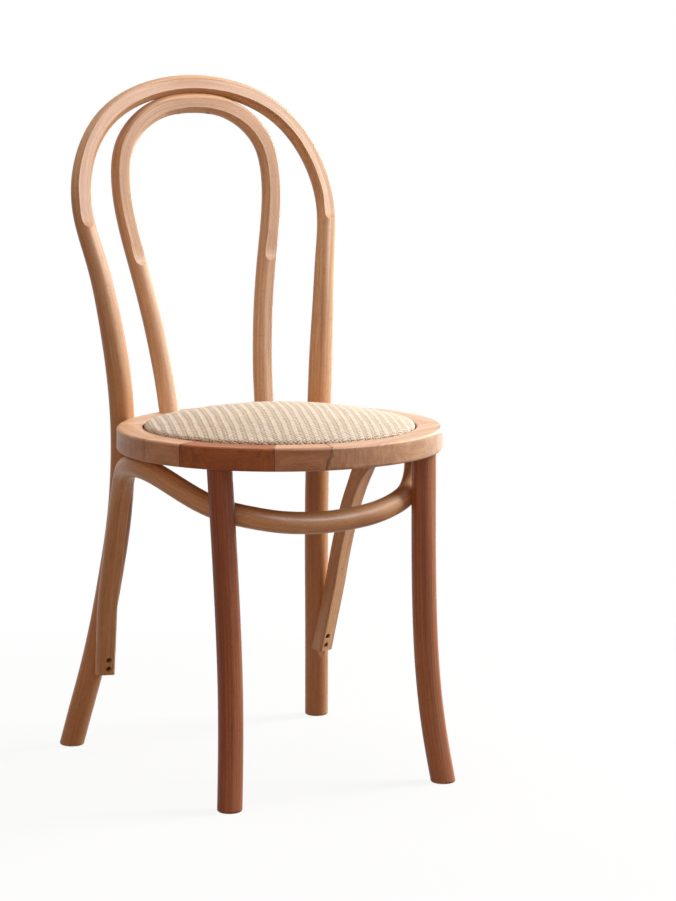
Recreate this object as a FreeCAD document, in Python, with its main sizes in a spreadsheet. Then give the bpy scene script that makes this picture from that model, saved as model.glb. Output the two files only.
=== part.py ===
"""Bentwood bistro chair with a glued seat ring and a woven drop-in pad.

Millimetres, +Z up, +Y towards the back, chair symmetric about X = 0. The origin lies
on the floor under the middle of the chair's footprint. Each bent stick is a loft
through round sections that stand square to its centre line; each centre line is a
short table of points, and its ends and contact points are moved to where the named
sizes put them, so that sticks stay in touch when one size changes.
"""
import FreeCAD, Part
import math
import os

Vector = FreeCAD.Vector

doc = FreeCAD.newDocument("bistro_chair")

SIZES = {
    # seat
    "seat_height": 450.0,
    "seat_radius": 208.0,
    "seat_centre_back": 3.0,
    "ring_thickness": 29.0,
    "rim_width": 33.0,
    "rim_round": 3.5,
    "lip_width": 22.0,
    "lip_thickness": 9.0,
    "pad_gap": 0.6,
    "soft_gap": 0.3,
    "cover_thickness": 2.5,
    "cover_turn_in": 8.0,
    "board_thickness": 10.0,
    "pad_crown": 25.0,
    "pad_edge_rise": 1.5,
    "pad_draw_in": 1.2,
    "pad_shoulder": 7.0,
    # back frame
    "rear_leg_radius": 16.0,
    "arch_radius": 13.0,
    "arch_flat": 2.1,
    "arch_flat_rise": 244.0,
    "arch_flat_ramp": 9.0,
    "back_height": 426.3,
    "hoop_half_width": 178.5,
    "rear_foot_spread": 186.2,
    "rear_foot_back": 255.1,
    "hoop_top_back": 263.5,
    "leg_notch": 3.5,
    "leg_bearing": 48.8,
    # inner hoop
    "inner_radius": 13.2,
    "inner_flat": 2.1,
    "inner_flat_rise": 190.0,
    "inner_flat_ramp": 9.0,
    "inner_half_width": 109.7,
    "inner_foot_spread": 69.9,
    "inner_foot_inset": 13.6,
    "hoop_seat_depth": 1.2,
    "inner_top_lean": 6.0,
    # front legs
    "front_leg_radius": 15.7,
    "front_leg_inset": 21.2,
    "front_leg_bearing": 39.5,
    "front_foot_spread": 151.9,
    "front_foot_forward": 154.9,
    "tenon_radius": 10.0,
    "tenon_length": 20.0,
    "foot_round": 3.0,
    # brace
    "brace_radius": 14.0,
    "brace_reach": 122.1,
    "brace_height": 343.3,
    "brace_leg_height": 364.4,
    "brace_leg_seat": 2.0,
    "brace_leg_bearing": 113.68,
    "brace_apex_inset": 16.2,
    "brace_apex_bearing": 5.1,
    "brace_ring_seat": 1.0,
    "brace_end_height": 105.5,
    "brace_end_flat": 1.6,
    "leg_flat": 1.5,
    "flat_level": 122.0,
    "flat_runout": 100.0,
    "riser_front_flat": 3.8,
    "riser_front_turn": 18.0,
    "riser_inner_flat": 5.8,
    "riser_flat_drop": 49.0,
    "riser_flat_ramp": 14.0,
    # fixings
    "dowel_radius": 5.0,
    "dowel_depth": 18.0,
    "screw_radius": 2.1,
    "screw_head_radius": 3.8,
    "screw_tip": 6.0,
    "screw_sink": 4.0,
    "recess_length": 4.4,
    "recess_width": 1.1,
    "recess_depth": 1.6,
    "end_screw_pitch": 12.7,
    "end_screw_rise": 11.3,
    "end_screw_sink": 6.5,
    "end_screw_length": 34.0,
    "brace_screw_length": 40.0,
    "ring_screw_length": 38.0,
    "top_screw_length": 38.0,
    "top_screw_spread": 22.0,
    "board_screw_length": 19.0,
    "board_screw_inset": 7.5,
    "board_screw_bearing": 35.0,
    "bolt_radius": 3.0,
    "bolt_head_flats": 10.0,
    "bolt_head_height": 4.5,
    "bolt_grip": 42.0,
    "bolt_drop": 12.0,
    "washer_radius": 7.0,
    "washer_thickness": 1.2,
    "counterbore_radius": 7.6,
    # place of the origin behind the middle of the seat design
    "origin_back": 35.74,
}

sheet = doc.addObject("Spreadsheet::Sheet", "sizes")
for row, (name, value) in enumerate(SIZES.items(), start=1):
    sheet.set("A%d" % row, name)
    sheet.set("B%d" % row, str(value))
    sheet.setAlias("B%d" % row, name)
doc.recompute()


def size(name):
    """The value of one named cell."""
    return float(getattr(sheet, name))


# Centre lines of the right-hand half, (x, y, z). The last point of a hoop is its top.
REAR_LINE = [
    (186.2, 255.1, 0.0), (175.3, 233.7, 70.0), (165.0, 213.7, 140.0),
    (155.7, 196.3, 220.0), (148.1, 181.4, 300.0), (144.8, 171.8, 380.0),
    (145.8, 168.8, 450.0), (151.5, 173.3, 530.0), (160.2, 183.0, 600.0),
    (170.1, 196.3, 660.0), (178.5, 211.3, 710.0), (173.5, 225.9, 754.9),
    (153.0, 242.2, 806.3), (113.9, 253.9, 844.5), (66.2, 260.7, 866.8),
    (0.0, 263.5, 876.3),
]
REAR_SEAT, REAR_WIDEST = 6, 10

INNER_LINE = [
    (69.9, 185.0, 450.0), (73.3, 195.5, 500.0), (80.2, 208.0, 560.0),
    (90.2, 220.1, 620.0), (102.4, 231.0, 680.0), (109.7, 238.7, 730.0),
    (109.6, 243.8, 765.3), (100.7, 249.0, 800.1), (77.7, 253.4, 828.3),
    (46.2, 256.1, 845.8), (0.0, 257.5, 852.0),
]
INNER_WIDEST = 5

FRONT_LINE = [
    (151.9, -154.9, 0.0), (145.4, -144.7, 60.0), (140.1, -134.6, 140.0),
    (139.3, -126.4, 240.0), (141.5, -120.4, 340.0), (144.1, -115.9, 421.0),
]

BRACE_LINE = [
    (0.0, -122.1, 343.3), (45.7, -120.9, 345.9), (86.5, -116.9, 352.5),
    (114.2, -103.9, 359.3), (130.8, -93.2, 364.4), (153.2, -70.4, 376.4),
    (174.0, -40.6, 393.2), (187.9, -5.4, 405.6), (191.1, 20.0, 407.1),
    (188.2, 50.5, 403.2), (181.0, 82.8, 391.4), (175.9, 105.9, 362.6),
    (172.0, 128.4, 320.5), (170.1, 144.9, 280.2), (169.3, 159.9, 240.1),
    (168.5, 172.5, 200.2), (165.6, 182.1, 160.2), (163.3, 190.6, 125.3),
    (161.5, 194.4, 100.4),
]
BRACE_LEG, BRACE_APEX, BRACE_FLAT = 4, 8, 15

ORIGIN = Vector(0, size("origin_back"), 0)
SEAT_CENTRE = Vector(0, size("seat_centre_back"), 0)
RING_UNDER = size("seat_height") - size("ring_thickness")


def blend(points, anchors):
    """Move the points so that each anchored one reaches its target, and share the
    shift in between by index."""
    line = [Vector(*p) for p in points]
    keys = sorted(anchors)
    moved = []
    for i, p in enumerate(line):
        low = max([k for k in keys if k <= i], default=keys[0])
        high = min([k for k in keys if k >= i], default=keys[-1])
        a = anchors[low] - line[low]
        b = anchors[high] - line[high]
        share = 0.0 if high == low else (i - low) / (high - low)
        moved.append(p + a * (1 - share) + b * share)
    return moved


def polar(radius, bearing, z):
    """A point round the middle of the seat, bearing in degrees from +X."""
    angle = math.radians(bearing)
    return SEAT_CENTRE + Vector(radius * math.cos(angle), radius * math.sin(angle), z)


def mirror(p):
    return Vector(-p.x, p.y, p.z)


def spline(points):
    curve = Part.BSplineCurve()
    curve.interpolate(points)
    return curve


def both_sides(half):
    """The whole centre line from the left end over the middle to the right end, of a
    half line that starts at its right end and stops at the middle."""
    return [mirror(p) for p in half] + list(reversed(half[:-1]))


def level(curve, z, first, last):
    """Where between two parameters a curve reaches height z."""
    a, b = first, last
    rising = curve.value(b).z > curve.value(a).z
    for step in range(50):
        middle = (a + b) / 2
        if (curve.value(middle).z < z) == rising:
            a = middle
        else:
            b = middle
    return (a + b) / 2


def at_height(curve, z, first, last):
    """The point of a curve at height z between two parameters, and its direction."""
    where = level(curve, z, first, last)
    return curve.value(where), curve.tangent(where)[0]


def place(point, direction, across=None):
    """A placement at a point with its Z axis along a direction."""
    z = Vector(direction).normalize()
    if across is None:
        return FreeCAD.Placement(point - ORIGIN, FreeCAD.Rotation(Vector(0, 0, 1), z))
    x = across - z * across.dot(z)
    x.normalize()
    return FreeCAD.Placement(point - ORIGIN, FreeCAD.Rotation(x, z.cross(x), z, "ZXY"))


def make(kind, name, **expressions):
    obj = doc.addObject(kind, name)
    for prop, text in expressions.items():
        obj.setExpression(prop, text)
    return obj


def cylinder(name, radius, height, placement):
    obj = make("Part::Cylinder", name, Radius=radius, Height=height)
    obj.Placement = placement
    return obj


def cone(name, radius1, radius2, height, placement):
    obj = make("Part::Cone", name, Radius1=radius1, Radius2=radius2, Height=height)
    obj.Placement = placement
    return obj


def box(name, length, width, height, corner, direction=None, across=None):
    obj = make("Part::Box", name, Length=length, Width=width, Height=height)
    if direction is None:
        obj.Placement = FreeCAD.Placement(corner - ORIGIN, FreeCAD.Rotation())
    else:
        obj.Placement = place(corner, direction, across)
    return obj


def cut(name, base, tool):
    obj = doc.addObject("Part::Cut", name)
    obj.Base = base
    obj.Tool = tool
    return obj


def common(name, base, tool):
    obj = doc.addObject("Part::Common", name)
    obj.Base = base
    obj.Tool = tool
    return obj


def fuse(name, shapes):
    if len(shapes) == 1:
        return shapes[0]
    obj = doc.addObject("Part::MultiFuse", name)
    obj.Shapes = shapes
    return obj


def group(name, shapes):
    obj = doc.addObject("Part::Compound", name)
    obj.Links = shapes
    return obj


def stick(name, points, radius, sections, across):
    """A round stick lofted through sections square to the spline through points.
    radius gives each section's size, as an expression, from its share of the length;
    across is the direction that the sections' seams follow."""
    curve = spline(points)
    edge = curve.toShape()
    circles = []
    side = Vector(across)
    for i, p in enumerate(edge.discretize(sections)):
        tangent = curve.tangent(curve.parameter(p))[0]
        tangent.normalize()
        side = side - tangent * side.dot(tangent)
        side.normalize()
        circle = doc.addObject("Part::Circle", "%s_section_%d" % (name, i + 1))
        circle.setExpression("Radius", radius(i / (sections - 1)))
        circle.Placement = place(p, tangent, side)
        circles.append(circle)
    loft = doc.addObject("Part::Loft", name + "_stick")
    loft.Sections = circles
    loft.Solid = True
    loft.Ruled = False
    return loft, curve


def trimmed(name, base, z):
    """The part of a stick above height z."""
    tool = box(name + "_below", "1000", "1000", "200", Vector(-500, -500, z - 200))
    return cut(name, base, tool)


def eased(name, base):
    """A trimmed stick with the sharp edge round each foot rounded over."""
    doc.recompute()
    feet = []
    for i, edge in enumerate(base.Shape.Edges, start=1):
        if abs(edge.BoundBox.ZMin) < 0.01 and abs(edge.BoundBox.ZMax) < 0.01:
            feet.append((i, size("foot_round"), size("foot_round")))
    obj = doc.addObject("Part::Fillet", name)
    obj.Base = base
    obj.Edges = feet
    return obj


# Back frame: one stick makes both rear legs and the arch.
leg_reach = size("seat_radius") + size("rear_leg_radius") - size("leg_notch")
rear_seat = polar(leg_reach, size("leg_bearing"), size("seat_height"))
rear_half = blend(REAR_LINE, {
    0: Vector(size("rear_foot_spread"), size("rear_foot_back"), 0),
    REAR_SEAT: rear_seat,
    REAR_WIDEST: Vector(size("hoop_half_width"), REAR_LINE[REAR_WIDEST][1],
                        size("seat_height") + size("back_height") * 0.61),
    len(REAR_LINE) - 1: Vector(0, size("hoop_top_back"),
                               size("seat_height") + size("back_height")),
})
below_floor = rear_half[0] + (rear_half[0] - rear_half[1]) * 0.35
rear_path = both_sides([below_floor] + rear_half)


def thinning(share):
    """0 along the legs, which keep their full thickness to above the seat, 1 along the
    arch."""
    height = min(share, 1 - share) * 2
    t = min(max((height - 0.50) / 0.22, 0.0), 1.0)
    return t * t * (3 - 2 * t)


def hoop_radius(share):
    t = thinning(share)
    return "sizes.rear_leg_radius * %.4f + sizes.arch_radius * %.4f" % (1 - t, t)


hoop, rear_curve = stick("hoop", rear_path, hoop_radius, 31, Vector(0, 1, 0))


def middle_of(curve):
    return (curve.FirstParameter + curve.LastParameter) / 2


def rear_leg_at(z):
    """Axis point and upward direction of the right rear leg."""
    point, tangent = at_height(rear_curve, z, rear_curve.LastParameter,
                               middle_of(rear_curve))
    return point, tangent if tangent.z > 0 else tangent * -1


def planer(name, line, turn, middle_across, width):
    """A curved cutter that planes one side of a stick. line holds the places, as
    distance behind the chair's middle measured square to the planed face and height,
    where that face runs; it is drawn on the YZ plane, padded to both sides and turned
    about the upright axis."""
    body = doc.addObject("PartDesign::Body", name)
    profile = body.newObject("Sketcher::SketchObject", name + "_profile")
    plane = [f for f in body.Origin.OriginFeatures if f.Role == "YZ_Plane"][0]
    profile.AttachmentSupport = [(plane, "")]
    profile.MapMode = "FlatFace"
    first, last = line[0], line[-1]
    ahead = min(point.x for point in line) - 30
    start = Vector(ahead, first.y, 0)
    end = Vector(ahead, last.y, 0)
    profile.addGeometry(spline(line), False)
    profile.addGeometry(Part.LineSegment(last, end), False)
    profile.addGeometry(Part.LineSegment(end, start), False)
    profile.addGeometry(Part.LineSegment(start, first), False)
    pad = body.newObject("PartDesign::Pad", name + "_pad")
    pad.Profile = profile
    pad.Length = width
    pad.Midplane = True
    body.Tip = pad
    spin = FreeCAD.Rotation(Vector(0, 0, 1), turn)
    body.Placement = FreeCAD.Placement(spin.multVec(Vector(middle_across, 0, 0)), spin)
    return body


def face_line(curve, crest, thickness, flat, heights, turn, ramp):
    """The places of a planed face for planer, on the right side of a stick up to its
    crest. thickness gives the stick's radius at a parameter, and ramp the share of the
    full flat at a height; where that is 0 the face lies just outside the stick."""
    turn = math.radians(turn)
    line = []
    for z in heights:
        where = level(curve, z, curve.LastParameter, crest)
        point, tangent = curve.value(where), curve.tangent(where)[0]
        back = (point.y - ORIGIN.y) * math.cos(turn) - point.x * math.sin(turn)
        lean = (tangent.y * math.cos(turn) - tangent.x * math.sin(turn)) / tangent.z
        share = ramp(z)
        depth = thickness(where) - flat * share + 0.4 * (1 - share)
        line.append(Vector(back - depth * math.sqrt(1 + lean * lean), z, 0))
    return line


def steps(low, high, count):
    return [low + (high - low) * i / (count - 1) for i in range(count)]


def eased_share(value, start, stop):
    t = min(max((value - start) / (stop - start), 0.0), 1.0)
    return t * t * (3 - 2 * t)


def hoop_thickness(where):
    run = rear_curve.length(rear_curve.FirstParameter, where)
    t = thinning(run / rear_curve.length())
    return size("rear_leg_radius") * (1 - t) + size("arch_radius") * t


def front_of_hoop(name, curve, thickness, flat, rise, ramp, top):
    """The cutter for the planed front of a hoop, from its rise above the seat to over
    the top."""
    low, ramp = size("seat_height") + size(rise), size(ramp)
    heights = steps(low, low + ramp, 5)[:-1] + steps(low + ramp, top - 1, 9)
    line = face_line(curve, middle_of(curve), thickness, size(flat), heights, 0,
                     lambda z: eased_share(z, low, low + ramp))
    line.append(line[-1] + Vector(0.5, 30, 0))
    return planer(name, line, 0, 0, 2 * size("hoop_half_width") + 80)


hoop_plane = front_of_hoop("hoop_front", rear_curve, hoop_thickness, "arch_flat",
                           "arch_flat_rise", "arch_flat_ramp", rear_half[-1].z)
leg_axis, leg_up = rear_leg_at(size("flat_level"))
slope = leg_up.y / leg_up.z
slant = math.sqrt(1 + slope * slope)


def flat_y(z):
    """The plane on which the brace ends meet the rear legs; it contains X."""
    reach = (size("rear_leg_radius") - size("leg_flat")) * slant
    return leg_axis.y - reach + slope * (z - size("flat_level"))


up_flat = Vector(0, slope, 1)
ahead_flat = Vector(0, -1 / slant, slope / slant)
end_line = Vector(-300, flat_y(size("brace_end_height")), size("brace_end_height"))
leg_plane = box("leg_plane", "600", "40", "240", end_line, up_flat, Vector(1, 0, 0))
leg_plane.Placement = place(end_line + ahead_flat * 40, up_flat, Vector(1, 0, 0))
leg_runout = cylinder("leg_runout", "sizes.flat_runout", "600",
                      place(end_line + ahead_flat * size("flat_runout"), Vector(1, 0, 0)))
leg_face = fuse("leg_face", [leg_plane, leg_runout])
low_corner = Vector(-300, flat_y(-20), -20)
brace_face = box("brace_face", "600", "40", "340", low_corner, up_flat, Vector(1, 0, 0))

# Inner hoop: stands on the ring and meets the underside of the arch.
inner_ring = size("seat_radius") - size("inner_foot_inset")
foot_y = math.sqrt(inner_ring ** 2 - size("inner_foot_spread") ** 2)
top_drop = size("arch_radius") + size("inner_radius") - size("hoop_seat_depth")
top_lean = size("inner_top_lean")
inner_top = Vector(0, size("hoop_top_back") - top_lean,
                   size("seat_height") + size("back_height")
                   - math.sqrt(top_drop ** 2 - top_lean ** 2))
inner_half = blend(INNER_LINE, {
    0: SEAT_CENTRE + Vector(size("inner_foot_spread"), foot_y, size("seat_height")),
    INNER_WIDEST: Vector(size("inner_half_width"), INNER_LINE[INNER_WIDEST][1],
                         size("seat_height") + size("back_height") * 0.657),
    len(INNER_LINE) - 1: inner_top,
})
below_ring = inner_half[0] + (inner_half[0] - inner_half[1]) * 0.3
inner_path = both_sides([below_ring] + inner_half)
inner, inner_curve = stick("inner", inner_path, lambda share: "sizes.inner_radius", 25,
                           Vector(0, 1, 0))
inner_plane = front_of_hoop("inner_front", inner_curve, lambda where: size("inner_radius"),
                            "inner_flat", "inner_flat_rise", "inner_flat_ramp",
                            inner_half[-1].z)

# Front legs, with a turned tenon into the ring.
leg_circle = size("seat_radius") - size("front_leg_inset")
front_top = polar(leg_circle, -size("front_leg_bearing"), RING_UNDER)
front_half = blend(FRONT_LINE, {
    0: Vector(size("front_foot_spread"), -size("front_foot_forward"), 0),
    len(FRONT_LINE) - 1: front_top,
})
below_leg = front_half[0] + (front_half[0] - front_half[1]) * 0.4
above_leg = front_half[-1] + (front_half[-1] - front_half[-2]) * 0.35
front_path = [below_leg] + front_half + [above_leg]
front_curve = spline(front_path)


def front_leg_at(z):
    return at_height(front_curve, z, front_curve.FirstParameter,
                     front_curve.LastParameter)[0]


# Brace: one stick round the front, under the ring at both sides and down to the legs.
touch = front_leg_at(size("brace_leg_height"))
touch_angle = math.radians(size("brace_leg_bearing"))
touch_side = Vector(math.cos(touch_angle), math.sin(touch_angle), 0)
leg_gap = size("brace_radius") + size("front_leg_radius") - size("brace_leg_seat")
apex_z = RING_UNDER - size("brace_radius") + size("brace_ring_seat")
apex = polar(size("seat_radius") - size("brace_apex_inset"), size("brace_apex_bearing"),
             apex_z)
brace_off = (size("brace_radius") - size("brace_end_flat")) * slant
brace_anchors = {
    0: Vector(0, -size("brace_reach"), size("brace_height")),
    BRACE_LEG: touch + touch_side * leg_gap,
    BRACE_APEX: apex,
}
drawn_leg = spline([Vector(*p) for p in REAR_LINE])
drawn_axis = at_height(drawn_leg, size("flat_level"), drawn_leg.FirstParameter,
                       drawn_leg.LastParameter)[0]
leg_shift = leg_axis.x - drawn_axis.x
for i in range(BRACE_FLAT, len(BRACE_LINE)):
    x, y, z = BRACE_LINE[i]
    brace_anchors[i] = Vector(x + leg_shift, flat_y(z) - brace_off, z)
brace_half = blend(BRACE_LINE, brace_anchors)
brace_half.append(brace_half[-1] * 2 - brace_half[-2])
brace_path = both_sides(list(reversed(brace_half)))
brace, brace_curve = stick("brace", brace_path, lambda share: "sizes.brace_radius", 41,
                           Vector(0, 1, 0))
brace_crest = brace_curve.LastParameter * 0.75 + brace_curve.FirstParameter * 0.25


riser_flat_top = RING_UNDER - size("riser_flat_drop")


def riser_share(z):
    return 1 - eased_share(z, riser_flat_top - size("riser_flat_ramp"), riser_flat_top)


# The risers of the brace are planed on the front, a little to the outside, and on the
# side that faces the other riser.
riser_planes = []
riser_heights = steps(size("brace_end_height") - 20, riser_flat_top, 14)
for kind, flat, turn in (("front", "riser_front_flat", size("riser_front_turn")),
                         ("inner", "riser_inner_flat", -90)):
    line = face_line(brace_curve, brace_crest, lambda where: size("brace_radius"),
                     size(flat), riser_heights, turn, riser_share)
    riser = at_height(brace_curve, 230, brace_curve.LastParameter, brace_crest)[0] - ORIGIN
    angle = math.radians(turn)
    across = riser.x * math.cos(angle) + riser.y * math.sin(angle)
    riser_planes.append(planer("riser_%s_right" % kind, line, turn, across, 180))
    riser_planes.append(planer("riser_%s_left" % kind, line, -turn, -across, 180))


# Fixings. A screw is drawn along its own axis from the face of its head.
def screw(name, head, direction, length, access, tool_list):
    """One countersunk wood screw with a cross recess. Its blank, with the way in for
    the head, is added to the tools that cut the wood."""
    axis = Vector(direction).normalize()
    rise = "(sizes.screw_head_radius - sizes.screw_radius)"
    sink = size("screw_head_radius") - size("screw_radius")
    shank = size(length) - sink - size("screw_tip")
    neck = cone(name + "_head", "sizes.screw_head_radius", "sizes.screw_radius", rise,
                place(head, axis))
    body = cylinder(name + "_shank", "sizes.screw_radius",
                    "sizes.%s - %s - sizes.screw_tip" % (length, rise),
                    place(head + axis * sink, axis))
    tip = cone(name + "_tip", "sizes.screw_radius", "0.4", "sizes.screw_tip",
               place(head + axis * (sink + shank), axis))
    blank = fuse(name + "_blank", [neck, body, tip])
    way = cylinder(name + "_way", "sizes.screw_head_radius", str(access),
                   place(head - axis * access, axis))
    tool_list.append(blank)
    tool_list.append(way)
    flat = place(head, axis)
    cross = []
    for turn in (0, 90):
        spin = FreeCAD.Rotation(Vector(0, 0, 1), turn)
        blade = make("Part::Box", "%s_blade_%d" % (name, turn),
                     Length="sizes.recess_length", Width="sizes.recess_width",
                     Height="sizes.recess_depth")
        corner = Vector(-size("recess_length") / 2, -size("recess_width") / 2, 0)
        local = FreeCAD.Placement(spin.multVec(corner), spin)
        blade.Placement = flat.multiply(local)
        cross.append(blade)
    recess = fuse(name + "_recess", cross)
    return cut(name, blank, recess)


ring_tools, hoop_tools, inner_tools, board_tools = [], [], [], []
front_tools = {"left": [], "right": []}
brace_tools = []
parts = {}

# Brace ends: two screws through each end into the rear leg behind it.
end_screws = []
ahead = Vector(0, 1, -slope).normalize()
for side, sign in (("left", -1), ("right", 1)):
    for k in (0, 1):
        z = size("brace_end_height") + size("end_screw_rise") + k * size("end_screw_pitch")
        point, tangent = at_height(brace_curve, z, brace_curve.LastParameter,
                                   brace_crest)
        start = Vector(sign * point.x, point.y, point.z)
        head = start - ahead * (size("brace_radius") - size("end_screw_sink"))
        tools = []
        name = "end_screw_%s_%d" % (side, k + 1)
        end_screws.append(screw(name, head, ahead, "end_screw_length", 12, tools))
        brace_tools += tools
        hoop_tools.append(tools[0])
parts["brace_end_screws"] = group("brace_end_screws", end_screws)

# One screw from inside the brace into each front leg, one up into the ring.
leg_screws, ring_screws = [], []
for side, sign in (("left", -1), ("right", 1)):
    inward = Vector(touch_side.x * sign, touch_side.y, 0)
    centre = touch + touch_side * leg_gap
    centre = Vector(centre.x * sign, centre.y, centre.z)
    head = centre + inward * (size("brace_radius") - size("screw_sink"))
    tools = []
    leg_screws.append(screw("leg_screw_" + side, head, inward * -1,
                            "brace_screw_length", 12, tools))
    brace_tools += tools
    front_tools[side].append(tools[0])
    under = Vector(apex.x * sign, apex.y, apex.z - size("brace_radius")
                   + size("screw_sink"))
    tools = []
    ring_screws.append(screw("ring_screw_" + side, under, Vector(0, 0, 1),
                             "ring_screw_length", 12, tools))
    brace_tools += tools
    ring_tools.append(tools[0])
parts["brace_leg_screws"] = group("brace_leg_screws", leg_screws)
parts["brace_ring_screws"] = group("brace_ring_screws", ring_screws)

# Two screws up through the top of the inner hoop into the arch.
top_screws = []
for side, sign in (("left", -1), ("right", 1)):
    near = inner_curve.parameter(Vector(sign * size("top_screw_spread"), inner_top.y,
                                        inner_top.z))
    start = inner_curve.value(near)
    rise = Vector(0, top_lean, math.sqrt(top_drop ** 2 - top_lean ** 2)).normalize()
    head = start - rise * (size("inner_radius") - size("screw_sink"))
    tools = []
    top_screws.append(screw("top_screw_" + side, head, rise, "top_screw_length", 12,
                            tools))
    inner_tools += tools
    hoop_tools.append(tools[0])
parts["hoop_top_screws"] = group("hoop_top_screws", top_screws)

# Dowels that stand the inner hoop on the ring.
dowels = []
foot_lean = (inner_half[1] - inner_half[0]).normalize()
for side, sign in (("left", -1), ("right", 1)):
    axis = Vector(foot_lean.x * sign, foot_lean.y, foot_lean.z)
    base = Vector(inner_half[0].x * sign, inner_half[0].y, inner_half[0].z)
    dowels.append(cylinder("dowel_" + side, "sizes.dowel_radius",
                           "2 * sizes.dowel_depth",
                           place(base - axis * size("dowel_depth"), axis)))
ring_tools += dowels
inner_tools += dowels
parts["inner_hoop_dowels"] = group("inner_hoop_dowels", dowels)

# Hexagon screws with washers, from the rebate of the ring outwards into the legs.
bolts, washers = [], []
bolt_z = size("seat_height") - size("bolt_drop")
wall = size("seat_radius") - size("rim_width")
for side, sign in (("left", -1), ("right", 1)):
    axis = Vector(math.cos(math.radians(size("leg_bearing"))) * sign,
                  math.sin(math.radians(size("leg_bearing"))), 0)
    inside = Vector(SEAT_CENTRE.x, SEAT_CENTRE.y, bolt_z)
    start = inside + axis * (wall + size("pad_gap"))
    upright = Vector(0, 0, 1)
    head = doc.addObject("Part::Prism", "bolt_head_" + side)
    head.Polygon = 6
    head.setExpression("Circumradius", "sizes.bolt_head_flats / 2 / cos(30)")
    head.setExpression("Height", "sizes.bolt_head_height")
    head.Placement = place(start, axis, upright)
    seat = start + axis * size("bolt_head_height")
    shank = cylinder("bolt_shank_" + side, "sizes.bolt_radius", "sizes.bolt_grip",
                     place(seat, axis))
    tip = cone("bolt_tip_" + side, "sizes.bolt_radius", "0.5", "sizes.screw_tip",
               place(seat + axis * size("bolt_grip"), axis))
    bolts.append(fuse("bolt_" + side, [head, shank, tip]))
    disc = cylinder("washer_disc_" + side, "sizes.washer_radius",
                    "sizes.washer_thickness", place(seat, axis))
    bore = cylinder("washer_bore_" + side, "sizes.bolt_radius",
                    "sizes.washer_thickness", place(seat, axis))
    washers.append(cut("washer_" + side, disc, bore))
    pocket = cylinder("bolt_pocket_" + side, "sizes.counterbore_radius",
                      "sizes.bolt_head_height + sizes.washer_thickness + 12",
                      place(start - axis * 12, axis))
    ring_tools += [pocket, shank]
    hoop_tools += [shank, tip]
parts["rear_leg_bolts"] = group("rear_leg_bolts", bolts)
parts["rear_leg_washers"] = group("rear_leg_washers", washers)

# Screws up through the lip of the ring into the seat board.
board_screws = []
lip_inner = wall - size("lip_width")
turn = size("board_screw_bearing")
for k, bearing in enumerate((turn, 180 - turn, 180 + turn, 360 - turn)):
    head = polar(lip_inner + size("board_screw_inset"), bearing, RING_UNDER)
    tools = []
    board_screws.append(screw("board_screw_%d" % (k + 1), head, Vector(0, 0, 1),
                              "board_screw_length", 4, tools))
    ring_tools += tools
    board_tools.append(tools[0])
parts["seat_board_screws"] = group("seat_board_screws", board_screws)


def turned(name, profile):
    """A body turned about the upright axis through the middle of the seat. profile is
    a list of (radius, height, bulge) corners: bulge is the sagitta expression of the
    arc that leads to the next corner, or None for a straight side."""
    body = doc.addObject("PartDesign::Body", name)
    sketch = body.newObject("Sketcher::SketchObject", name + "_profile")
    plane = [f for f in body.Origin.OriginFeatures if f.Role == "XZ_Plane"][0]
    sketch.AttachmentSupport = [(plane, "")]
    sketch.MapMode = "FlatFace"
    count = len(profile)
    corners = [Vector(r, z, 0) for r, z, through in profile]
    for i in range(count):
        a, b = corners[i], corners[(i + 1) % count]
        through = profile[i][2]
        if through is None:
            sketch.addGeometry(Part.LineSegment(a, b), False)
        else:
            sketch.addGeometry(Part.Arc(a, Vector(through[0], through[1], 0), b), False)
    spin = body.newObject("PartDesign::Revolution", name + "_turn")
    spin.Profile = sketch
    spin.ReferenceAxis = (sketch, ["V_Axis"])
    spin.Angle = 360
    body.Tip = spin
    body.Placement = FreeCAD.Placement(SEAT_CENTRE - ORIGIN, FreeCAD.Rotation())
    return body


def quarter(centre_r, centre_z, radius, bearing):
    """The middle point of a quarter round."""
    angle = math.radians(bearing)
    return (centre_r + radius * math.cos(angle), centre_z + radius * math.sin(angle))


# Seat ring, turned whole and then parted into its glued blocks.
outer = size("seat_radius")
top = size("seat_height")
low = RING_UNDER
rnd = size("rim_round")
shelf = low + size("lip_thickness")
ring_profile = [
    (lip_inner, low, None),
    (outer - rnd, low, quarter(outer - rnd, low + rnd, rnd, -45)),
    (outer, low + rnd, None),
    (outer, top - rnd, quarter(outer - rnd, top - rnd, rnd, 45)),
    (outer - rnd, top, None),
    (wall + 1.5, top, quarter(wall + 1.5, top - 1.5, 1.5, 135)),
    (wall, top - 1.5, None),
    (wall, shelf, None),
    (lip_inner, shelf, None),
]
ring_blank = turned("ring_blank", ring_profile)

# Back frame, cut to the floor, planed at the arch and faced for the brace ends.
hoop_floor = eased("hoop_feet", trimmed("hoop_floor", hoop, 0))
hoop_planed = cut("hoop_planed", hoop_floor, hoop_plane)
hoop_faced = cut("hoop_faced", hoop_planed, leg_face)
hoop_bored = cut("back_hoop", hoop_faced, fuse("hoop_bores", hoop_tools))
parts["back_hoop"] = hoop_bored

inner_floor = trimmed("inner_floor", inner, size("seat_height"))
inner_planed = cut("inner_planed", inner_floor, inner_plane)
inner_seated = cut("inner_seated", inner_planed, hoop_planed)
parts["inner_hoop"] = cut("inner_hoop", inner_seated, fuse("inner_bores", inner_tools))

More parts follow.
